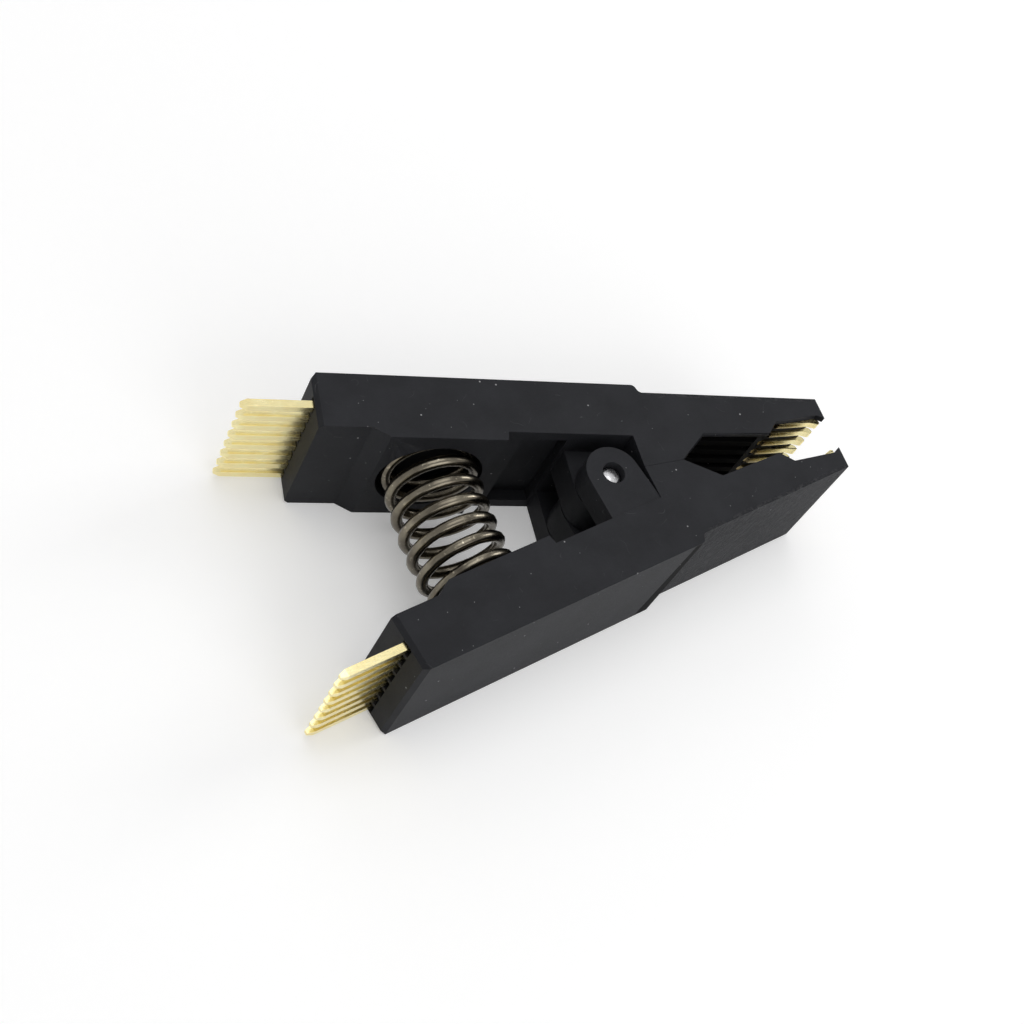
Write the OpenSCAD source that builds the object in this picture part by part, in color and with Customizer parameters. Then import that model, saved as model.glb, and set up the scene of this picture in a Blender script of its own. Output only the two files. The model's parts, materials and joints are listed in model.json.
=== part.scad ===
// Test clip for 16-lead small-outline chips, lying on its side.
// Two identical moulded jaws, one turned over, share a hinge pin.
// A coil spring holds the tips closed; eight contacts run through each jaw.
// Millimetres. +X points to the tips, +Y to the rear jaw, +Z along the hinge.
// Sizes marked "along" start at the jaw's back end, "up" at its outer face.

/* [Jaw] */
// Distance along the jaw from its back end to the hinge
handle_len = 21.6; // [19:0.1:27]
// Distance from the hinge to the tip, along the closed clip's centre line
reach = 19.7; // [17:0.1:26]
// Height of the hinge above a jaw's outer face
hinge_height = 7.6; // [7.2:0.1:9]
// Lean of each jaw from the centre line with the tips closed, degrees
rest_lean = 11.5; // [8:0.5:13]
// Plastic left outside the first and last contact slot
side_wall = 0.525; // [0.4:0.025:1.2]
// Bevel round the back end
end_bevel = 0.32; // [0.1:0.02:0.5]

/* [Handle] */
// Thickness of the handle's back end
back_thick = 4.4; // [3.8:0.1:5]
// Length of the back end before it thickens
back_len = 3.85; // [2:0.05:5]
// Length of the slope up to the thick grip
ramp_len = 1.25; // [0.6:0.05:2.5]
// Thickness of the grip that holds the spring
grip_thick = 5.15; // [4.8:0.05:5.8]
// Distance along the jaw to the end of the thick grip
grip_end = 13.85; // [13:0.05:15]
// Thickness of the waist between grip and hinge
waist_thick = 4.45; // [3.8:0.05:4.7]
// Distance from the thick grip to the hollow in the waist
hollow_gap = 1.6; // [0.8:0.1:2]
// Depth of the hollow in the waist
hollow_depth = 0.9; // [0.2:0.05:1.1]
// Width of the rim on each side of that hollow
hollow_rim = 0.95; // [0.5:0.05:2]
// Length of the raised pad past the hinge, on the outer face
pad_past_hinge = 3.4; // [2:0.1:5]
// Height of that pad over the nose
pad_step = 0.65; // [0.3:0.05:0.9]
// Rounding of the pad's front edge
pad_round = 0.42; // [0.1:0.02:0.6]

/* [Nose] */
// Distance from the hinge to the start of the meeting ridges
ridge_start = 2.6; // [2.5:0.05:3]
// Length over which the ridges meet
ridge_len = 3.4; // [1.5:0.1:4]
// Length of the slope from the ridge down to the window
slope_len = 2.2; // [1.2:0.1:3]
// Height of the side walls beside the window, at its back
window_back = 4.05; // [3.8:0.05:4.4]
// Height of the side walls beside the window, at its front
window_front = 3.87; // [3.6:0.01:4]
// Depth of the floor below the side walls in the window
window_depth = 0.7; // [0.3:0.05:0.75]
// Length of the cavity that takes the chip, from the tip
cavity_len = 4.4; // [3:0.1:6]
// Length of the slope from the window down to the cavity
cavity_slope = 0.8; // [0.4:0.05:1.2]
// Height of the side walls at the back of the cavity
cavity_back = 2.83; // [2.7:0.01:3.2]
// Height of the side walls at the front of the cavity
cavity_front = 2.14; // [1.9:0.02:2.3]
// Height of the lip at the tip
lip_height = 2.39; // [2.2:0.01:2.6]
// Length of the lip
lip_len = 0.66; // [0.3:0.02:1]
// How far the comb's front stands back from the tip
comb_setback = 0.7; // [0.55:0.05:1.2]
// Depth of the grooves between the comb's ribs in the window
groove_depth = 0.3; // [0.1:0.05:0.35]

/* [Hinge] */
// Radius of the lugs round the hinge
lug_radius = 2.15; // [1.6:0.05:2.3]
// Thickness of the lug at the side of the clip
outer_lug = 2.22; // [1.6:0.02:2.6]
// How far the outer lug stands below the side face
lug_inset = 0.08; // [0.02:0.01:0.3]
// Free space between neighbouring lugs
lug_gap = 0.12; // [0.1:0.01:0.3]
// Extra length of each lug's foot towards the handle
foot_flare = 0.25; // [0:0.05:0.6]
// Diameter of the hinge pin
pin_d = 1.6; // [1.2:0.05:2]
// Radial running clearance round the hinge pin
pin_clear = 0.06; // [0.03:0.01:0.1]
// Depth of the pin's ends below the side faces
pin_recess = 0.75; // [0.2:0.05:1.2]
// Rounding of the pin's ends
pin_round = 0.28; // [0.1:0.02:0.35]

/* [Spring] */
// Diameter of the spring wire
wire_d = 0.75; // [0.5:0.05:0.8]
// Outer diameter of the coil
coil_d = 7.3; // [5.5:0.1:7.6]
// Number of turns with the closed ends
coil_turns = 10; // [8:0.5:11]
// Angle round the coil at which its front end starts, degrees
coil_start = 150; // [0:10:350]
// Depth of the spring's pocket in each jaw
pocket_depth = 2.2; // [1:0.05:2.25]
// Free space round the coil in its pocket
pocket_clear = 0.3; // [0.15:0.05:0.5]

/* [Contacts] */
// Distance from one contact to the next
pitch = 1.27; // [1:0.01:1.6]
// Width of a contact across the row
contact_w = 0.6; // [0.4:0.02:0.7]
// Depth of a contact's tail and shank
contact_t = 0.6; // [0.4:0.02:0.64]
// Height of the contacts' middle above the outer face
contact_height = 2.3; // [2.1:0.02:2.32]
// Length of the tail that stands out behind
tail_len = 5.17; // [3:0.05:12]
// Length of the point on a tail
tail_point = 0.5; // [0.2:0.05:1]
// Free space round a contact in its slot
slot_clear = 0.03; // [0.01:0.01:0.06]
// Rise of the blade over the shank inside the cavity
blade_rise = 0.15; // [0.05:0.05:0.3]
// Rise of the toe over the blade at the tip
toe_rise = 0.15; // [0.05:0.05:0.3]
// How far the toe stands back from the tip
toe_setback = 0.3; // [0.1:0.05:0.5]
// Width of the opened mouth round each tail
mouth_w = 0.94; // [0.72:0.02:1]
// Depth of that mouth
mouth_depth = 0.5; // [0.2:0.05:1]

/* [Hidden] */

contact_count = 8;
$fn = 64;
// Overshoot of a cut past the face it opens
over = 1;
// Half the gap left between the two meeting ridges
ridge_gap = 0.01;

// The width holds the row of contacts, their slots and two side walls
slot_w = contact_w + 2 * slot_clear;
row_len = (contact_count - 1) * pitch;
jaw_w = row_len + slot_w + 2 * side_wall;
mid_z = jaw_w / 2;
function contact_z(i) = mid_z + row_len / 2 - (i - 1) * pitch;

// Turns a place on the closed clip, measured from the hinge, into jaw sizes
function along_at(x, y) = handle_len + x * cos(rest_lean) + y * sin(rest_lean);
function up_at(x, y) = hinge_height - x * sin(rest_lean) + y * cos(rest_lean);
// Distance along the jaw of the plane through the tip, at a height
function tip_along(up) =
    handle_len + (reach + (up - hinge_height) * sin(rest_lean)) / cos(rest_lean);
// Distance from the hinge along the centre line of a place on a jaw
function clip_x(along, up) =
    (along - handle_len) * cos(rest_lean) - (up - hinge_height) * sin(rest_lean);

function arc(c, r, from, to, steps = 8) =
    [for (i = [0 : steps]) let (a = from + (to - from) * i / steps)
        c + r * [cos(a), sin(a)]];

// The pad, nose and cavity along the jaw
pad_end = handle_len + pad_past_hinge;
nose_up = pad_step;
heel_foot = handle_len + lug_radius + 0.05;
cavity_start = tip_along(lip_height) - cavity_len;
window_end = cavity_start - cavity_slope;
ridge_end = ridge_start + ridge_len;
window_start = along_at(ridge_end, 0) + slope_len;
lip_start = tip_along(lip_height) - lip_len;

// Levels of the contacts
shank_low = contact_height - contact_t / 2;
shank_high = contact_height + contact_t / 2;
blade_high = shank_high + blade_rise;
toe_high = blade_high + toe_rise;
toe_end = tip_along(toe_high) - toe_setback;
blade_start = cavity_start + 0.5;
slot_floor = shank_low - 0.05;
comb_top = shank_high - 0.15;
comb_front = tip_along(comb_top) - comb_setback;
window_floor = window_front - window_depth;

// The spring's seat, in the middle of the thick grip
grip_start = back_len + ramp_len;
spring_along = (grip_start + grip_end) / 2;
pocket_floor = grip_thick - pocket_depth;
pocket_r = coil_d / 2 + pocket_clear;

// The lugs, counted from the middle of the clip
inner_lug = (jaw_w - 3 * lug_gap - 2 * (lug_inset + outer_lug)) / 2;
lug_hole_r = pin_d / 2 + pin_clear;

// The hinge stands off the origin, so that the origin is under the middle
back_x = clip_x(-tail_len, contact_height + contact_t / 4);
hinge_x = -(back_x + reach) / 2;

// Places a jaw's own shape in the closed clip
module in_front() {
    translate([hinge_x, 0, 0])
        rotate([0, 0, rest_lean])
            translate([-handle_len, -hinge_height, 0])
                children();
}

// The rear jaw is the front one turned over about the clip's long axis
module in_rear() {
    translate([0, 0, jaw_w])
        rotate([180, 0, 0])
            in_front()
                children();
}

// Side view of a jaw, from the back end round to the tip
module jaw_outline() {
    polygon(concat(
        [[end_bevel, 0]],
        arc([pad_end - pad_round, pad_round], pad_round, -90, -15, 6),
        [[pad_end + 0.12, nose_up - 0.12]],
        [[pad_end + 0.35, nose_up]],
        [[tip_along(nose_up), nose_up]],
        [[tip_along(lip_height), lip_height]],
        [[lip_start, cavity_front]],
        [[cavity_start, cavity_back]],
        [[window_end, window_front]],
        [[window_start, window_back]],
        [[along_at(ridge_end, -ridge_gap), up_at(ridge_end, -ridge_gap)]],
        [[along_at(ridge_start, -ridge_gap), up_at(ridge_start, -ridge_gap)]],
        [[heel_foot, waist_thick]],
        [[grip_end + 0.15, waist_thick]],
        [[grip_end, grip_thick]],
        [[grip_start, grip_thick]],
        [[back_len, back_thick]],
        [[0, back_thick]],
        [[0, end_bevel]]
    ));
}

// View from the side of the grip, with the back end's bevels
module jaw_plan() {
    polygon([
        [end_bevel, 0], [tip_along(lip_height) + over, 0],
        [tip_along(lip_height) + over, jaw_w], [end_bevel, jaw_w],
        [0, jaw_w - end_bevel], [0, end_bevel]
    ]);
}

// Side view of a lug: a round eye on a straight foot
module lug_outline() {
    translate([handle_len, hinge_height])
        circle(r = lug_radius);
    polygon([
        [handle_len - lug_radius, hinge_height],
        [handle_len - lug_radius - foot_flare, waist_thick - 0.2],
        [heel_foot + 0.2, waist_thick - 0.2],
        [heel_foot + 0.05, waist_thick],
        [handle_len + lug_radius, hinge_height]
    ]);
}

module lugs() {
    translate([0, 0, jaw_w - lug_inset - outer_lug])
        linear_extrude(outer_lug)
            lug_outline();
    translate([0, 0, mid_z - lug_gap / 2 - inner_lug])
        linear_extrude(inner_lug)
            lug_outline();
}

// Space between the side walls of the nose, over the comb
module comb_space() {
    floor_start = window_start + 0.4;
    translate([0, 0, side_wall])
        linear_extrude(jaw_w - 2 * side_wall)
            polygon([
                [window_start, window_back + over],
                [floor_start, window_floor],
                [window_end, window_floor],
                [blade_start, comb_top + 0.1],
                [comb_front, comb_top - 0.2],
                [comb_front, nose_up + 0.8],
                [tip_along(lip_height) + over, nose_up + 0.8],
                [tip_along(lip_height) + over, window_back + over]
            ]);
}

// One contact's way through the jaw, its mouth and its open slot
module contact_way() {
    channel_t = contact_t + 2 * slot_clear;
    translate([-over, contact_height - channel_t / 2, -slot_w / 2])
        cube([blade_start + over, channel_t, slot_w]);
    translate([-over, contact_height - mouth_w / 2 - 0.1, -mouth_w / 2])
        cube([over + mouth_depth, mouth_w, mouth_w]);
    translate([blade_start - over / 2, slot_floor, -slot_w / 2])
        cube([reach, grip_thick, slot_w]);
    translate([window_start + 0.4, window_floor - groove_depth, -slot_w / 2])
        cube([window_end - window_start - 0.4, grip_thick, slot_w]);
}

// The round seat of the spring
module spring_pocket() {
    translate([spring_along, pocket_floor, mid_z])
        rotate([-90, 0, 0])
            cylinder(r = pocket_r, h = pocket_depth + over);
}

// The hollow between the grip and the lugs
module waist_hollow() {
    hollow_start = grip_end + hollow_gap;
    hollow_end = handle_len - lug_radius - foot_flare - 0.3;
    translate([hollow_start, waist_thick - hollow_depth, hollow_rim])
        cube([hollow_end - hollow_start, hollow_depth + over, jaw_w - 2 * hollow_rim]);
}

module jaw() {
    difference() {
        union() {
            intersection() {
                linear_extrude(jaw_w)
                    jaw_outline();
                translate([0, grip_thick + hinge_height, 0])
                    rotate([90, 0, 0])
                        linear_extrude(grip_thick + hinge_height)
                            jaw_plan();
            }
            lugs();
        }
        comb_space();
        spring_pocket();
        waist_hollow();
        for (i = [1 : contact_count])
            translate([0, 0, contact_z(i)])
                contact_way();
        translate([handle_len, hinge_height, -over])
            cylinder(r = lug_hole_r, h = jaw_w + 2 * over);
    }
}

// Side view of a contact: pointed tail, shank, blade and rounded toe
module contact_outline() {
    toe_r = (toe_high - shank_low) / 2 - 0.05;
    barb = slot_clear;
    polygon(concat(
        [[-tail_len, contact_height - contact_t / 4]],
        [[tail_point - tail_len, shank_low]],
        [[mouth_depth + 1, shank_low]],
        [[mouth_depth + 2, shank_low - barb]],
        [[mouth_depth + 2.4, shank_low - barb]],
        [[mouth_depth + 2.4, shank_low]],
        [[toe_end - 1.2, shank_low]],
        arc([toe_end - toe_r, shank_low + toe_r + 0.1], toe_r, -80, 0, 6),
        arc([toe_end - 0.2, toe_high - 0.2], 0.2, 0, 110, 6),
        [[toe_end - 0.9, blade_high]],
        [[blade_start + 0.1, blade_high]],
        [[blade_start - 0.1, shank_high]],
        [[mouth_depth + 2.4, shank_high]],
        [[mouth_depth + 2.4, shank_high + barb]],
        [[mouth_depth + 2, shank_high + barb]],
        [[mouth_depth + 1, shank_high]],
        [[tail_point - tail_len, shank_high]],
        [[-tail_len, contact_height + contact_t / 4]]
    ));
}

// The tail's point seen from the other side
module contact_plan() {
    polygon([
        [-tail_len, -contact_w / 4], [tail_point - tail_len, -contact_w / 2],
        [toe_end + over, -contact_w / 2], [toe_end + over, contact_w / 2],
        [tail_point - tail_len, contact_w / 2], [-tail_len, contact_w / 4]
    ]);
}

module contact() {
    intersection() {
        translate([0, 0, -contact_w / 2])
            linear_extrude(contact_w)
                contact_outline();
        translate([0, toe_high + over, 0])
            rotate([90, 0, 0])
                linear_extrude(toe_high + 2 * over)
                    contact_plan();
    }
}

module jaw_front() {
    color([0.07, 0.07, 0.08])
        in_front()
            jaw();
}

module jaw_rear() {
    color([0.09, 0.09, 0.1])
        in_rear()
            jaw();
}

module hinge_pin() {
    half_len = mid_z - pin_recess;
    r = pin_d / 2;
    color([0.75, 0.75, 0.77])
        translate([hinge_x, 0, mid_z])
            rotate_extrude()
                polygon(concat(
                    [[0, -half_len]],
                    arc([r - pin_round, pin_round - half_len], pin_round, -90, 0, 6),
                    arc([r - pin_round, half_len - pin_round], pin_round, 0, 90, 6),
                    [[0, half_len]]
                ));
}

// The coil's centre line bends in an arc, square to both pocket floors
seat_x = clip_x(spring_along, pocket_floor);
seat_y = (spring_along - handle_len) * sin(rest_lean)
    + (pocket_floor - hinge_height) * cos(rest_lean);
bend_r = -seat_y / sin(rest_lean);
bend_x = seat_x + bend_r * cos(rest_lean);
spring_len = bend_r * rest_lean * PI / 90;

// Distance along the centre line after a number of turns: both ends are closed
closed_rise = 1.04 * wire_d;
end_gap = 0.02;
open_rise = (spring_len - wire_d - 2 * end_gap - 2 * closed_rise) / (coil_turns - 2);
function coil_rise(t) =
    wire_d / 2 + end_gap
    + closed_rise * min(t, 1)
    + open_rise * min(max(t - 1, 0), coil_turns - 2)
    + closed_rise * max(t - coil_turns + 1, 0);

// A point of the bent coil, at a turn and a distance from the centre line
function coil_point(t, r, lift) =
    let (
        along = coil_rise(t) + lift,
        lean = rest_lean * (1 - 2 * along / spring_len),
        side = r * cos(360 * t + coil_start)
    )
    [bend_x - (bend_r + side) * cos(lean),
     -(bend_r + side) * sin(lean),
     mid_z + r * sin(360 * t + coil_start)];

module spring() {
    sides = 8;
    steps = 20 * coil_turns;
    mean_r = (coil_d - wire_d) / 2;
    points = [
        for (s = [0 : steps]) for (k = [0 : sides - 1])
            let (a = 360 * k / sides)
                coil_point(s * coil_turns / steps,
                    mean_r + wire_d / 2 * cos(a), wire_d / 2 * sin(a))
    ];
    walls = [
        for (s = [0 : steps - 1]) for (k = [0 : sides - 1])
            let (n = (k + 1) % sides)
                [s * sides + k, s * sides + n, (s + 1) * sides + n, (s + 1) * sides + k]
    ];
    first = [for (k = [sides - 1 : -1 : 0]) k];
    last = [for (k = [0 : sides - 1]) steps * sides + k];
    color([0.45, 0.42, 0.38])
        translate([hinge_x, 0, 0])
            polyhedron(points = points, faces = concat(walls, [first, last]), convexity = 10);
}

module contact_front(i) {
    color([0.85, 0.68, 0.3])
        in_front()
            translate([0, 0, contact_z(i)])
                contact();
}

module contact_rear(i) {
    color([0.85, 0.68, 0.3])
        in_rear()
            translate([0, 0, jaw_w - contact_z(i)])
                contact();
}

jaw_front();
jaw_rear();
hinge_pin();
spring();
for (i = [1 : contact_count])
    contact_front(i);
for (i = [1 : contact_count])
    contact_rear(i);
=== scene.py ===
# %% [markdown]
# # A test clip for small-outline chips
# Two black plastic jaws share a steel hinge pin, a coil spring closes them, and sixteen
# gold-plated contacts run through them from tail to toe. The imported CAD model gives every
# piece its place and size. This lesson gives each piece its real edges and its finish.

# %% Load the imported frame
import json
import math
import bpy
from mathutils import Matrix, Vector


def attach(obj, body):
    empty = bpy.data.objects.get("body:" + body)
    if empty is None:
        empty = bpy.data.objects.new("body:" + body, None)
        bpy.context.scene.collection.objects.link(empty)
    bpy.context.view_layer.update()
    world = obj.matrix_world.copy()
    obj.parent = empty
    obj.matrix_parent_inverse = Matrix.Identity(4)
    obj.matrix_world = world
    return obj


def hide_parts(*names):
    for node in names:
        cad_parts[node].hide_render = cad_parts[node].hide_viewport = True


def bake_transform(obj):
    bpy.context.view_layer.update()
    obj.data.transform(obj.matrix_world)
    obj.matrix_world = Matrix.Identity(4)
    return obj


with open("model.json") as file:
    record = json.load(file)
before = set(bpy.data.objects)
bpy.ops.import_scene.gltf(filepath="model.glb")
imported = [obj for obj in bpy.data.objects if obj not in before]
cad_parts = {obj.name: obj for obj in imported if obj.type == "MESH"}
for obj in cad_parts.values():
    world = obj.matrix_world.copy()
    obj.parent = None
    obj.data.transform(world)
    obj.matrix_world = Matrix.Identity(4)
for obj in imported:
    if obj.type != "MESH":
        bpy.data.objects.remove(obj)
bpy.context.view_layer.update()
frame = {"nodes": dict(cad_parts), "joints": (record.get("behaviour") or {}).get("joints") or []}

MM = 0.001
FRONT, REAR = "front_half", "rear_half"
CONTACTS = 8
hinge = frame["joints"][0]
hinge_at = Vector(hinge["pos_m"])
LEAN = math.radians(11.5)
HINGE_ALONG, HINGE_UP = 21.6, 7.6

# %% [markdown]
# ## The camera
# A small product is shown from above through a long lens. The camera is placed by its own
# position and three turns rather than by a target, because a slight roll is wanted, and a
# camera that tracks a target can't roll.

# %% Make the camera
CAMERA_PLACE = (-0.06728, -0.05124, 0.11654)
CAMERA_TURNS = (31.56, -19.47, -22.35)
camera_data = bpy.data.cameras.new("camera")
camera_data.sensor_width = 36.0
camera_data.lens = 66.71
camera_data.clip_start = 0.001
camera_data.clip_end = 10.0
camera = bpy.data.objects.new("camera", camera_data)
camera.location = CAMERA_PLACE
camera.rotation_euler = [math.radians(turn) for turn in CAMERA_TURNS]
scene = bpy.context.scene
scene.collection.objects.link(camera)
scene.camera = camera
scene.view_settings.view_transform = "Standard"


# %% [markdown]
# ## A short way to write shader maths
# A finish is mostly arithmetic on noises. Wiring each sum by hand hides the sum, so a
# socket is wrapped in a small class whose operators make the Math nodes.

# %% The socket class
class Wire:
    """An output of a shader node that can be used in plain arithmetic."""

    def __init__(self, tree, socket):
        self.tree, self.socket = tree, socket

    def maths(self, operation, *others, clamp=False):
        node = self.tree.nodes.new("ShaderNodeMath")
        node.operation = operation
        node.use_clamp = clamp
        for place, value in enumerate((self, *others)):
            if isinstance(value, Wire):
                self.tree.links.new(value.socket, node.inputs[place])
            else:
                node.inputs[place].default_value = value
        return Wire(self.tree, node.outputs[0])

    def __add__(self, other): return self.maths("ADD", other)
    def __radd__(self, other): return self.maths("ADD", other)
    def __sub__(self, other): return self.maths("SUBTRACT", other)
    def __rsub__(self, other): return self.maths("MULTIPLY", -1.0).maths("ADD", other)
    def __mul__(self, other): return self.maths("MULTIPLY", other)
    def __rmul__(self, other): return self.maths("MULTIPLY", other)
    def __truediv__(self, other): return self.maths("DIVIDE", other)
    def above(self, other): return self.maths("GREATER_THAN", other)
    def size(self): return self.maths("ABSOLUTE")
    def most(self, other): return self.maths("MAXIMUM", other)

    def ramp(self, start, end):
        """0 before start, 1 after end, and straight between them."""
        return ((self - start) / (end - start)).maths("ADD", 0.0, clamp=True)

    def between(self, start, end, soft):
        """1 between start and end, with an edge of width soft inside each of them."""
        return self.ramp(start, start + soft) * self.ramp(end, end - soft)


def named(sockets, name):
    """The socket whose label is name, with spaces for its underscores, or None."""
    label = name.replace("_", " ").lower()
    return next((socket for socket in sockets if socket.name.lower() == label), None)


class Finish:
    """A material with one Principled shader, and helpers for its textures."""

    def __init__(self, name):
        self.material = bpy.data.materials.new(name)
        self.material.use_nodes = True
        self.tree = self.material.node_tree
        self.shader = self.tree.nodes["Principled BSDF"]
        self.place = self.node("ShaderNodeTexCoord").outputs["Object"]

    def node(self, kind, **settings):
        """Any node: a setting whose name is an input goes to that input."""
        node = self.tree.nodes.new(kind)
        for name, value in settings.items():
            socket = named(node.inputs, name)
            if socket is None:
                setattr(node, name, value)
            elif isinstance(value, Wire):
                self.tree.links.new(value.socket, socket)
            elif isinstance(value, bpy.types.NodeSocket):
                self.tree.links.new(value, socket)
            else:
                socket.default_value = value
        return node

    def xyz(self):
        """The place on the object in millimetres, as three wires."""
        apart = self.node("ShaderNodeSeparateXYZ", vector=self.place)
        return [Wire(self.tree, out) * (1 / MM) for out in apart.outputs]

    def jaw_place(self):
        """Millimetres along a jaw from its back end, up from its outer face, and height over
        the clip's mid plane."""
        x, y, z = self.xyz()
        x = x - hinge_at.x / MM
        y = y.size() * -1.0
        lean_cos, lean_sin = math.cos(LEAN), math.sin(LEAN)
        along = x * lean_cos + y * lean_sin + HINGE_ALONG
        up = y * lean_cos - x * lean_sin + HINGE_UP
        return along, up, z - hinge_at.z / MM

    def uv(self):
        """The place on the piece's own UV map, as two wires."""
        found = self.tree.nodes["Texture Coordinate"].outputs["UV"]
        apart = self.node("ShaderNodeSeparateXYZ", vector=found)
        return [Wire(self.tree, out) for out in apart.outputs][:2]

    def join(self, x, y, z):
        """Three wires or numbers as one vector."""
        return self.node("ShaderNodeCombineXYZ", x=x, y=y, z=z).outputs[0]

    def noise(self, vector, scale, detail=2.0, roughness=0.5):
        """A soft noise from 0 to 1."""
        node = self.node("ShaderNodeTexNoise", vector=vector, scale=scale,
                         detail=detail, roughness=roughness)
        return Wire(self.tree, node.outputs[0])

    def mix(self, amount, low, high):
        """A colour between low and high."""
        node = self.tree.nodes.new("ShaderNodeMix")
        node.data_type = "RGBA"
        self.tree.links.new(amount.socket, node.inputs[0])
        for place, value in ((6, low), (7, high)):
            if isinstance(value, tuple):
                node.inputs[place].default_value = (*value, 1.0)
            else:
                self.tree.links.new(value, node.inputs[place])
        return node.outputs[2]

    def bump(self, height, depth, strength=1.0):
        """A normal from a height of 0 to 1 that is depth millimetres deep."""
        node = self.node("ShaderNodeBump", height=height, distance=depth * MM,
                         strength=strength)
        return node.outputs[0]

    def feed(self, **sockets):
        """Links wires to the shader, or sets numbers on it."""
        for name, value in sockets.items():
            socket = named(self.shader.inputs, name)
            if isinstance(value, Wire):
                self.tree.links.new(value.socket, socket)
            elif isinstance(value, bpy.types.NodeSocket):
                self.tree.links.new(value, socket)
            else:
                socket.default_value = value


# %% [markdown]
# ## Black moulding plastic
# The jaws are moulded in black plastic, probably glass-filled. The skin is satin and very
# finely grained, with faint flow marks, pale dust specks and a few hair scratches. The
# grain is a bump, because it only shows where light grazes the surface; dust and scratches
# are also a change of colour. The outer face of the nose is rougher than the rest. It is
# found by its place on the jaw, which is the same for both jaws because one is the other
# turned over. The comb in the window and a narrow band where the handle's pad ends look
# nearly black, because they lie in shade. The model's window is a little too shallow and it
# has no recess at the band, so that shade is painted there as a near-black, rough colour.

# %% The plastic
DARK_PLASTIC, PLAIN_PLASTIC = (0.0140, 0.0146, 0.0175), (0.0195, 0.0203, 0.0240)
SCUFFED, DUST = (0.060, 0.060, 0.064), (0.45, 0.45, 0.46)
DEEP_SHADE = (0.0025, 0.0025, 0.0028)
PAD_BAND = (23.65, 24.85)
BAND_SLANT = 0.066
COMB = (27.6, 37.0)
NOSE_START = 25.6


def make_plastic():
    finish = Finish("jaw_plastic")
    x, y, z = finish.xyz()
    place = finish.join(x, y, z)
    along, up, height = finish.jaw_place()
    cloud = finish.noise(place, 0.35, 3.0)
    grain = finish.noise(place, 7.0, 3.0, 0.65)
    fine = finish.noise(place, 26.0, 2.0, 0.6)

    def dust(scale, radius, share):
        dots = finish.node("ShaderNodeTexVoronoi", vector=place, scale=scale)
        pick = finish.node("ShaderNodeSeparateColor", color=dots.outputs["Color"])
        near = Wire(finish.tree, dots.outputs["Distance"]).ramp(radius, radius * 0.4)
        return near * Wire(finish.tree, pick.outputs[0]).above(1.0 - share)

    specks = dust(0.9, 0.075, 0.3).most(dust(2.3, 0.10, 0.12) * 0.6)
    bends = finish.noise(place, 0.42, 1.0) - 0.5
    some = finish.noise(place, 0.9, 1.0).ramp(0.60, 0.64)
    scratches = bends.size().ramp(0.0025, 0.001) * some

    nose = along.ramp(NOSE_START, 26.2) * up.ramp(1.0, 0.8)
    weave = finish.noise(finish.join(along, up, height * 0.6), 2.6, 5.0, 0.7)
    scuffs = nose * weave.ramp(0.46, 0.60)
    slant = along + y.maths("SIGN") * height * BAND_SLANT
    band = slant.between(*PAD_BAND, soft=0.07) * up.ramp(0.6, 0.5)
    band = band * height.size().ramp(5.26, 5.20)
    comb = along.between(*COMB, soft=0.4) * up.ramp(3.3, 3.2)
    comb = comb * up.ramp(1.2, 1.4) * height.size().ramp(5.0, 4.9)
    # Painted shade: the comb and the pad band get a near-black colour and a rough surface in
    # place of the shade that lies in them.
    painted_shade = band.most(comb)
    base = finish.mix(cloud.ramp(0.35, 0.7), DARK_PLASTIC, PLAIN_PLASTIC)
    base = finish.mix(scuffs * 0.7, base, SCUFFED)
    base = finish.mix(painted_shade, base, DEEP_SHADE)
    base = finish.mix((specks * 0.75).most(scratches * 0.06), base, DUST)
    finish.feed(
        base_color=base,
        roughness=(grain * 0.16 + scuffs * 0.10 + 0.56).most(painted_shade * 0.95),
        specular_ior_level=0.2,
        normal=finish.bump(grain * 0.18 + fine * 0.12 + scuffs, 0.050),
    )
    return finish.material


plastic = make_plastic()


# %% [markdown]
# ## Gold plate
# Such contacts are usually stamped from copper alloy and plated with thin bright gold.
# Plate is a metal with a pale yellow colour. It is nearly smooth, with faint drawing lines
# along the contact and a slightly darker tone where the plate is thin. A contact looks brown
# in the deep shade where it leaves its slot, and a darker tone stands in for that.

# %% The gold
def make_gold():
    finish = Finish("contact_gold")
    x, y, z = finish.xyz()
    lines = finish.noise(finish.join(x * 0.4, y * 3.0, z * 9.0), 2.0, 3.0, 0.6)
    cloud = finish.noise(finish.join(x, y, z), 0.9, 2.0)
    along = finish.jaw_place()[0]
    shaded = along.ramp(20.0, 21.0) * along.ramp(38.4, 36.9)
    base = finish.mix(cloud.ramp(0.3, 0.75), (0.96, 0.87, 0.50), (0.90, 0.77, 0.39))
    finish.feed(
        base_color=finish.mix(shaded * 0.85, base, (0.20, 0.14, 0.06)),
        metallic=1.0,
        roughness=lines * 0.18 + 0.16,
        normal=finish.bump(lines, 0.006),
    )
    return finish.material


gold = make_gold()


# %% [markdown]
# ## Spring wire
# Hard-drawn spring wire comes out of its die with long fine marks. This wire is probably
# nickel-plated, and a thin plate keeps the marks. They follow the wire, so they are drawn on
# the UV map that the swept wire has: a noise that is stretched along the wire and crowded
# round it.

# %% The finish of the spring wire
def make_wire_steel():
    finish = Finish("spring_steel")
    x, y, z = finish.xyz()
    along, round_wire = finish.uv()
    marks = finish.noise(finish.join(along * 60.0, round_wire * 9.0, 0.0), 1.0, 4.0, 0.62)
    tone = finish.noise(finish.join(x, y, z), 0.7, 3.0)
    worn = finish.noise(finish.join(x, y, z), 3.2, 4.0, 0.6).ramp(0.60, 0.72)
    base = finish.mix(tone.ramp(0.3, 0.75), (0.24, 0.215, 0.165), (0.11, 0.095, 0.075))
    finish.feed(
        base_color=finish.mix(worn * 0.7, base, (0.66, 0.60, 0.47)),
        metallic=1.0,
        roughness=marks * 0.22 + 0.12,
        normal=finish.bump(marks, 0.012),
    )
    return finish.material


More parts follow.
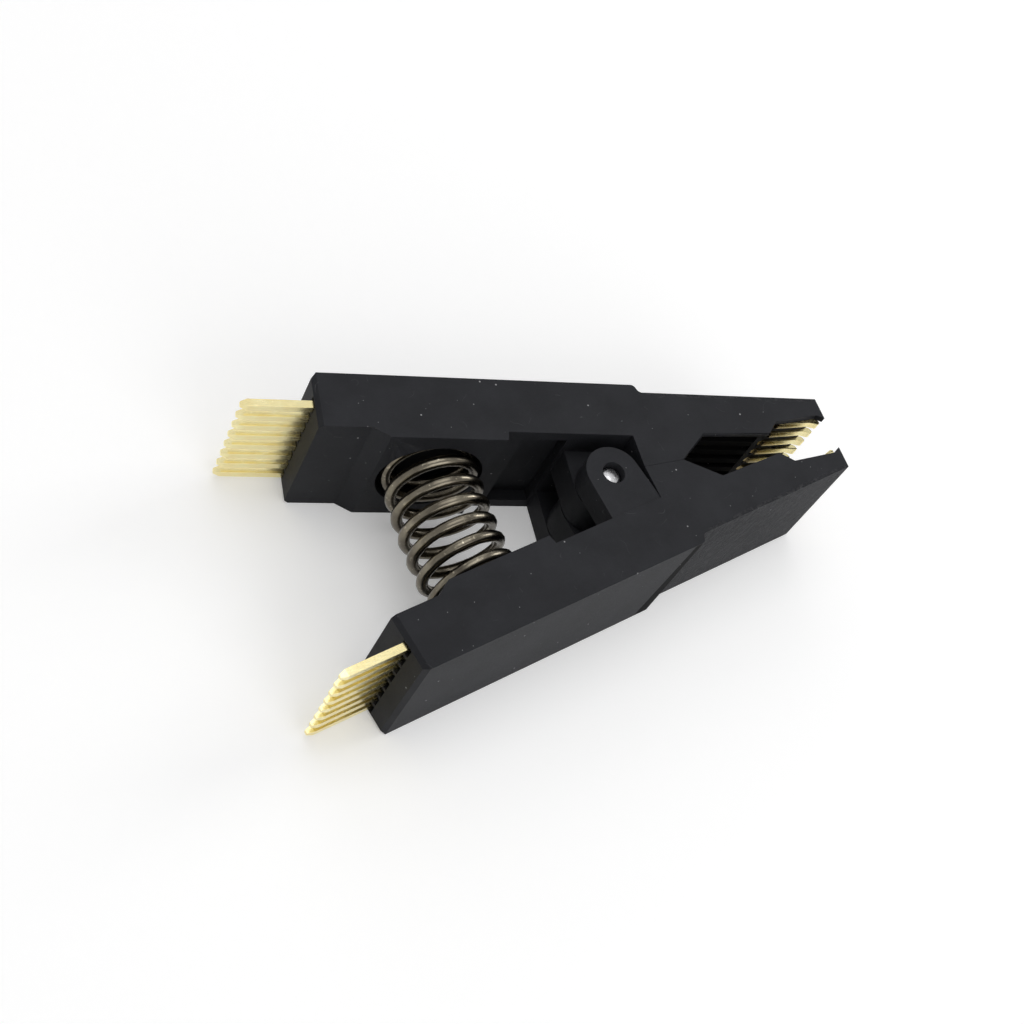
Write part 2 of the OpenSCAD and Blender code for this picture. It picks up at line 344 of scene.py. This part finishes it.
# %% [markdown]
# ## Pin steel
# The hinge pin is a cut length of bright steel rod with tumbled ends.

# %% The pin's steel
def make_pin_steel():
    finish = Finish("pin_steel")
    x, y, z = finish.xyz()
    marks = finish.noise(finish.join(x, y, z * 6.0), 3.0, 3.0, 0.6)
    finish.feed(
        base_color=finish.mix(marks, (0.80, 0.80, 0.81), (0.62, 0.62, 0.64)),
        metallic=1.0,
        roughness=marks * 0.2 + 0.18,
        normal=finish.bump(marks, 0.01),
    )
    return finish.material


pin_steel = make_pin_steel()


# %% [markdown]
# ## Rounded edges
# A moulding never has a razor edge, and the thin bright line along each edge is much of
# what makes a render look like an object. Each CAD node with sharp edges is copied, its flat
# faces are joined into whole ones, and a bevel modifier rounds what stays sharp. The copy
# replaces the node.

# %% Soften the edges of a copy of a node
def pick_only(thing):
    """Leaves one object selected and active, because an operator acts on all that is."""
    bpy.ops.object.select_all(action="DESELECT")
    thing.select_set(True)
    bpy.context.view_layer.objects.active = thing


def softened_copy(node, name, width, finish, body, segments=2):
    """A copy of a node with rounded edges, which takes the node's place."""
    pick_only(frame["nodes"][node])
    bpy.ops.object.duplicate()
    piece = bpy.context.active_object
    piece.name = name
    pick_only(piece)
    bpy.ops.object.mode_set(mode="EDIT")
    bpy.ops.mesh.select_all(action="SELECT")
    bpy.ops.mesh.remove_doubles(threshold=0.002 * MM)
    bpy.ops.mesh.dissolve_limited(angle_limit=math.radians(0.5))
    bpy.ops.object.mode_set(mode="OBJECT")
    bevel = piece.modifiers.new("soft edges", "BEVEL")
    bevel.width = width
    bevel.segments = segments
    bevel.limit_method = "ANGLE"
    bevel.angle_limit = math.radians(15)
    bevel.harden_normals = True
    bpy.ops.object.shade_smooth_by_angle(angle=math.radians(15))
    bpy.ops.object.modifier_apply(modifier=bevel.name)
    piece.data.materials.clear()
    piece.data.materials.append(finish)
    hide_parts(node)
    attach(piece, body)
    return piece


SHANK_TOP, TOE_START = 2.62, 39
TOE_DROP = 0.27 * MM
CONTACT_EDGE, JAW_EDGE = 0.05 * MM, 0.07 * MM


def settle_toe(piece, side, drop):
    """Lowers the toe of a contact, because the real toes lie nearer the cavity's floor."""
    turn = -1 if side == "front" else 1
    inward = Vector((-math.sin(LEAN), -turn * math.cos(LEAN), 0))
    forward = Vector((math.cos(LEAN), -turn * math.sin(LEAN), 0))
    for corner in piece.data.vertices:
        away = (corner.co - hinge_at) / MM
        raised = away.dot(inward) + HINGE_UP > SHANK_TOP
        corner.select = raised and away.dot(forward) + HINGE_ALONG > TOE_START
    pick_only(piece)
    bpy.ops.object.mode_set(mode="EDIT")
    bpy.ops.mesh.select_mode(type="VERT")
    bpy.ops.transform.translate(value=inward * -drop)
    bpy.ops.object.mode_set(mode="OBJECT")


for side, body in (("front", FRONT), ("rear", REAR)):
    jaw = softened_copy(f"jaw_{side}", f"{side}_jaw_moulding", JAW_EDGE, plastic, body)
    print(jaw.name, len(jaw.data.polygons), "faces")
    for number in range(1, CONTACTS + 1):
        contact = softened_copy(f"contact_{side}_{number}", f"{side}_contact_{number}_plated",
                                CONTACT_EDGE, gold, body)
        settle_toe(contact, side, TOE_DROP)
print(contact.name, len(contact.data.polygons), "faces")

# %% [markdown]
# ## The hinge pin
# A pin like this is usually cut from bright rod and tumbled. Its ends are rounded off and
# slightly domed. A cylinder is the right start. Its end faces are inset and pushed out a
# little for the dome, and the sharp ring round each end gets a wide bevel.

# %% Shape the pin
PIN_RADIUS = 0.8 * MM
PIN_LENGTH = 9.44 * MM
DOME = ((0.30 * MM, 0.0), (0.22 * MM, 0.05 * MM), (0.16 * MM, 0.02 * MM))


def make_pin():
    bpy.ops.object.select_all(action="DESELECT")
    bpy.ops.mesh.primitive_cylinder_add(vertices=48, radius=PIN_RADIUS, depth=PIN_LENGTH,
                                        location=hinge_at)
    pin = bpy.context.active_object
    pin.name = "hinge_pin_steel"
    bpy.ops.object.transform_apply(location=True)
    for end in (-1, 1):
        for face in pin.data.polygons:
            face.select = face.normal.z * end > 0.9
        bpy.ops.object.mode_set(mode="EDIT")
        bpy.ops.mesh.select_mode(type="FACE")
        for thickness, rise in DOME:
            bpy.ops.mesh.inset(thickness=thickness)
            bpy.ops.transform.translate(value=(0, 0, end * rise))
        bpy.ops.object.mode_set(mode="OBJECT")
    bevel = pin.modifiers.new("tumbled ends", "BEVEL")
    bevel.width = 0.26 * MM
    bevel.segments = 5
    bevel.limit_method = "ANGLE"
    bevel.angle_limit = math.radians(60)
    bpy.ops.object.modifier_apply(modifier=bevel.name)
    bpy.ops.object.shade_smooth_by_angle(angle=math.radians(50))
    pin.data.materials.append(pin_steel)
    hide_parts("hinge_pin")
    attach(pin, FRONT)
    return pin


print("hinge pin:", len(make_pin().data.polygons), "faces")

# %% [markdown]
# ## The spring's centre line
# The spring is wound from round wire as a right-handed coil, with one closed turn at each
# end. Its ends sit flat on two pocket floors that lean apart, so the coil bends in an arc
# about a centre beyond the tips. A formula for one point of the wire is enough: the turn
# gives the distance along the bent axis, and the angle round it.

# %% A point of the wire
WIRE = 0.88 * MM
COIL = 7.25 * MM
TURNS = 9
FIRST_ANGLE = math.radians(40)
SEAT_ALONG, SEAT_UP = -12.125 * MM, -4.65 * MM

seat_x = SEAT_ALONG * math.cos(LEAN) - SEAT_UP * math.sin(LEAN)
seat_y = SEAT_ALONG * math.sin(LEAN) + SEAT_UP * math.cos(LEAN)
bend_radius = -seat_y / math.sin(LEAN)
bend_x = seat_x + bend_radius * math.cos(LEAN)
coil_length = 2 * bend_radius * LEAN
closed_rise = 1.04 * WIRE
open_rise = (coil_length - WIRE - 0.04 * MM - 2 * closed_rise) / (TURNS - 2)


def wire_place(turn):
    """Where the middle of the wire is after a number of turns."""
    along = WIRE / 2 + 0.02 * MM + closed_rise * min(turn, 1)
    along += open_rise * min(max(turn - 1, 0), TURNS - 2)
    along += closed_rise * max(turn - TURNS + 1, 0)
    lean = LEAN * (1 - 2 * along / coil_length)
    angle = math.tau * turn + FIRST_ANGLE
    radius = (COIL - WIRE) / 2
    out = bend_radius + radius * math.cos(angle)
    return hinge_at + Vector((bend_x - out * math.cos(lean), -out * math.sin(lean),
                              radius * math.sin(angle)))


print("spring, in mm:", round(coil_length / MM, 2), "long, pitch", round(open_rise / MM, 2))


# %% [markdown]
# ## The spring wire
# A curve with a round bevel sweeps a wire of constant thickness along any path, and gives it
# a UV map that runs along and round the wire. That is better here than a screw modifier,
# which can't close the end turns or bend the axis. The curve is made a mesh. The spring
# crosses the joint between the jaws.

# %% Sweep the wire
def make_spring(finish, steps=36):
    bpy.ops.object.select_all(action="DESELECT")
    path = bpy.data.curves.new("spring_path", "CURVE")
    path.dimensions = "3D"
    line = path.splines.new("POLY")
    line.points.add(steps * TURNS)
    for number, point in enumerate(line.points):
        point.co = (*wire_place(number / steps), 1.0)
    path.bevel_depth = WIRE / 2
    path.bevel_resolution = 3
    path.use_fill_caps = True
    piece = bpy.data.objects.new("closing_spring", path)
    scene.collection.objects.link(piece)
    pick_only(piece)
    bpy.ops.object.convert(target="MESH")
    piece = bpy.context.active_object
    bpy.ops.object.mode_set(mode="EDIT")
    bpy.ops.mesh.select_all(action="SELECT")
    bpy.ops.mesh.normals_make_consistent(inside=False)
    bpy.ops.object.mode_set(mode="OBJECT")
    bpy.ops.object.shade_smooth_by_angle(angle=math.radians(40))
    piece.data.materials.clear()
    piece.data.materials.append(finish)
    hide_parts("spring")
    rear_seat = hinge_at + Vector((seat_x, -seat_y, 0))
    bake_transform(piece)
    return piece


spring = make_spring(make_wire_steel())
print("spring wire:", len(spring.data.polygons), "faces")


# %% [markdown]
# ## Floor and background
# The floor is a white sheet with a white wall far round it. A little glow that only camera,
# mirror and see-through rays meet lifts them to a clean white. It lights nothing: the clip
# only mirrors it, and the floor keeps its shadow.

# %% The floor, the wall and the world
def make_white(name, shade, glow):
    finish = Finish(name)
    rays = finish.node("ShaderNodeLightPath").outputs
    seen = Wire(finish.tree, rays["Is Camera Ray"])
    for kind in ("Is Glossy Ray", "Is Transmission Ray"):
        seen = seen.most(Wire(finish.tree, rays[kind]))
    finish.feed(
        base_color=(shade, shade, shade, 1.0),
        roughness=0.9,
        specular_ior_level=0.0,
        emission_color=finish.mix(seen, (0.0, 0.0, 0.0), (glow, glow, glow)),
        emission_strength=1.0,
    )
    return finish.material


FLOOR_SHADE, FLOOR_GLOW = 0.9, 0.23
WALL_SHADE, WALL_GLOW = 0.6, 0.35
bpy.ops.object.select_all(action="DESELECT")
bpy.ops.mesh.primitive_plane_add(size=4.0, location=(0, 0, -0.02 * MM))
floor = bpy.context.active_object
floor.name = "floor"
floor.data.materials.append(make_white("floor_white", FLOOR_SHADE, FLOOR_GLOW))

bpy.ops.object.select_all(action="DESELECT")
bpy.ops.mesh.primitive_cylinder_add(vertices=96, radius=1.9, depth=1.4,
                                    end_fill_type="NOTHING", location=(0, 0, 0.69))
wall = bpy.context.active_object
wall.name = "backdrop"
wall.data.materials.append(make_white("backdrop_white", WALL_SHADE, WALL_GLOW))

WORLD_GREY = 0.56
world = bpy.data.worlds.new("studio")
world.use_nodes = True
scene.world = world
backdrop = world.node_tree.nodes["Background"]
backdrop.inputs["Color"].default_value = (WORLD_GREY, WORLD_GREY, WORLD_GREY, 1)
backdrop.inputs["Strength"].default_value = 1.0


# %% [markdown]
# ## The lamps
# Large soft lamps stand round the clip. None stands where a flat top would mirror it into
# the camera, because black plastic shows little but what it mirrors.

# %% Set up the lamps
# Each lamp has the way to it from the clip, its distance and size in metres, and its watts.
LAMPS = {
    "top_lamp": ((0.0, 0.1, 1.0), 0.5, 0.35, 0.54),
    "front_lamp": ((0.1, -0.85, 0.5), 0.5, 0.35, 0.60),
    "back_lamp": ((0.1, 0.8, 0.6), 0.5, 0.35, 0.20),
    "side_lamp": ((0.86, 0.12, 0.50), 0.5, 0.18, 0.45),
}


def soft_light(name, toward, distance, size, power):
    """A square area light that looks at the clip."""
    data = bpy.data.lights.new(name, "AREA")
    data.size = size
    data.energy = power
    lamp = bpy.data.objects.new(name, data)
    lamp.location = Vector(toward).normalized() * distance
    lamp.rotation_euler = (-lamp.location).to_track_quat("-Z", "Y").to_euler()
    scene.collection.objects.link(lamp)
    return lamp


for name, values in LAMPS.items():
    soft_light(name, *values)
